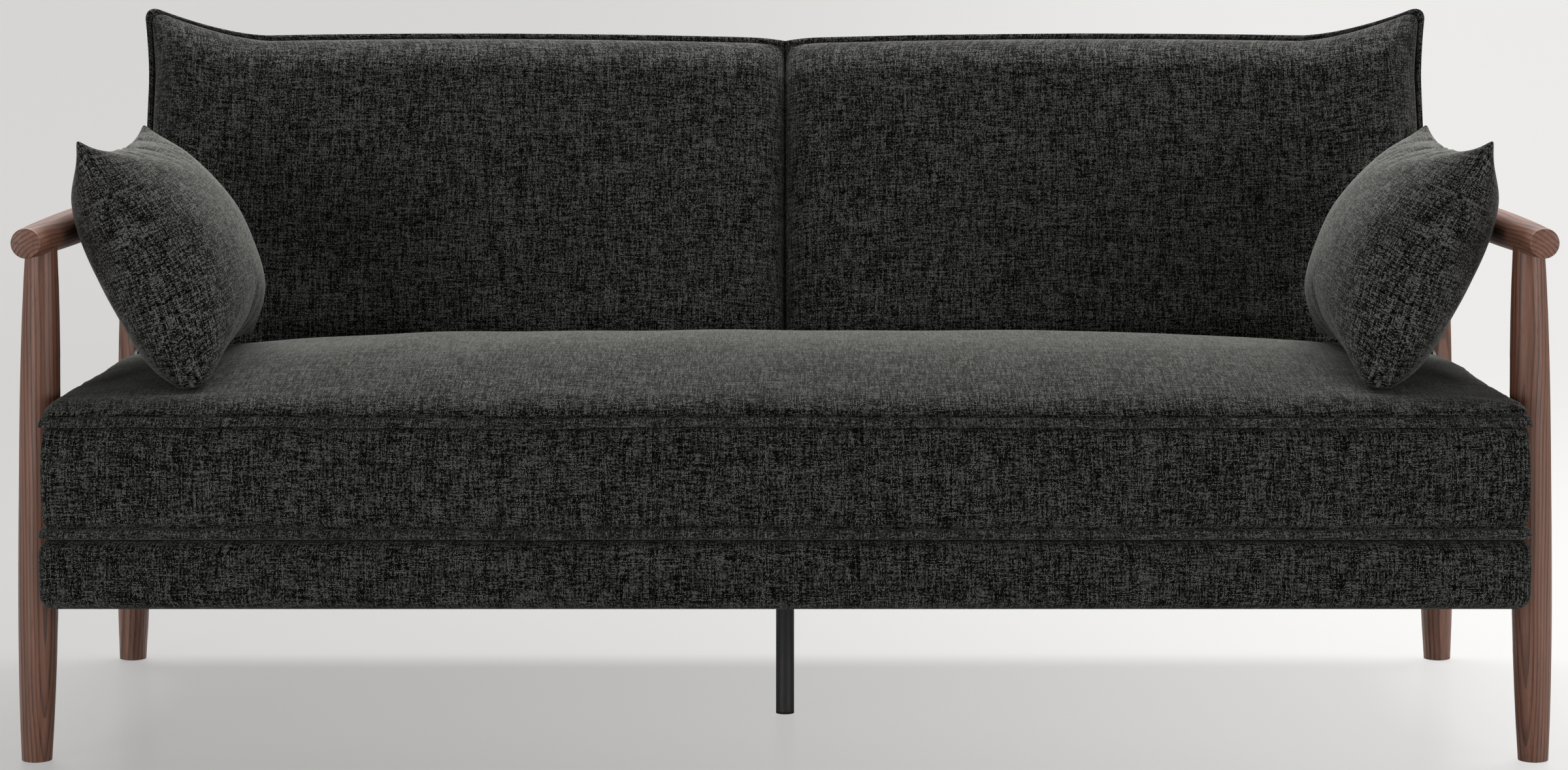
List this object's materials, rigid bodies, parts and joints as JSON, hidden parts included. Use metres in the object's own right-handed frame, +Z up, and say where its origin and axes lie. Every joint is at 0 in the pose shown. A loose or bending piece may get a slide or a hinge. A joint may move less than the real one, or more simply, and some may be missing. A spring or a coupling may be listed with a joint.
{
  "type": "sofa bed",
  "caption": "Upholstered sofa bed on turned wooden side frames, with a crowned seat, a channelled backrest that folds down flat on click hinges, and loose throw pillows",
  "frame": {"origin": "on the floor, at the centre of the foot of the centre support leg", "axes": "+X along the sofa to the viewer's right, -Y is the front where a person sits, +Z up"},
  "size_m": [1.8998, 0.845, 0.929],
  "materials": {
    "walnut": "satin",
    "beech": "matte",
    "plywood": "matte",
    "upholstery": "matte",
    "lining": "matte",
    "foam": "matte",
    "fibre": "matte",
    "plated_steel": "satin",
    "black_steel": "satin",
    "black_rubber": "matte"
  },
  "bodies": {
    "frame": {"front_leg_left": "walnut", "front_leg_right": "walnut", "rear_leg_left": "walnut", "rear_leg_right": "walnut", "arm_bar_left": "walnut", "arm_bar_right": "walnut", "leg_glides": "black_rubber", "leg_bolts": "plated_steel", "front_rail": "beech", "rear_rail": "beech", "side_rail_left": "beech", "side_rail_right": "beech", "seat_rear_rail": "beech", "cross_rails": "beech", "corner_blocks": "beech", "deck_board": "plywood", "seat_springs": "plated_steel", "spring_felt": "lining", "base_cover": "upholstery", "dust_cover": "lining", "centre_leg": "black_steel", "centre_leg_plate": "black_steel", "centre_leg_screws": "plated_steel", "centre_leg_cap": "black_rubber", "seat_cover": "upholstery", "seat_foam": "foam", "hinge_bracket_left": "plated_steel", "hinge_bracket_right": "plated_steel", "pawl_springs": "plated_steel", "hinge_pins": "plated_steel", "pawl_pins": "plated_steel", "stop_pins": "plated_steel", "bracket_screws": "plated_steel"},
    "back": {"back_stile_left": "beech", "back_stile_right": "beech", "back_centre_stile": "beech", "back_top_rail": "beech", "back_bottom_rail": "beech", "back_webbing": "lining", "back_foam": "foam", "back_cover": "upholstery", "hinge_arm_left": "plated_steel", "hinge_arm_right": "plated_steel", "ratchet_disc_left": "plated_steel", "ratchet_disc_right": "plated_steel", "arm_bolts": "plated_steel"},
    "pawl_left": {"pawl_left": "black_steel"},
    "pawl_right": {"pawl_right": "black_steel"},
    "pillow_left": {"pillow_cover_left": "upholstery", "pillow_insert_left": "fibre"},
    "pillow_right": {"pillow_cover_right": "upholstery", "pillow_insert_right": "fibre"}
  },
  "joints": [
    {"name": "back_fold", "type": "hinge", "parent": "frame", "child": "back", "pos_m": [0, 0.2, 0.43], "axis": [-1, 0, 0], "range_deg": [0, 72]},
    {"name": "pawl_left_lift", "type": "hinge", "parent": "frame", "child": "pawl_left", "pos_m": [-0.887, 0.24261, 0.40025], "axis": [1, 0, 0], "range_deg": [-8, 0]},
    {"name": "pawl_right_lift", "type": "hinge", "parent": "frame", "child": "pawl_right", "pos_m": [0.887, 0.24261, 0.40025], "axis": [1, 0, 0], "range_deg": [-8, 0]},
    {"name": "pillow_left_lift", "type": "slide", "parent": "frame", "child": "pillow_left", "axis": [0, 0, 1], "range_m": [0, 0.35]},
    {"name": "pillow_right_lift", "type": "slide", "parent": "frame", "child": "pillow_right", "axis": [0, 0, 1], "range_m": [0, 0.35]}
  ]
}
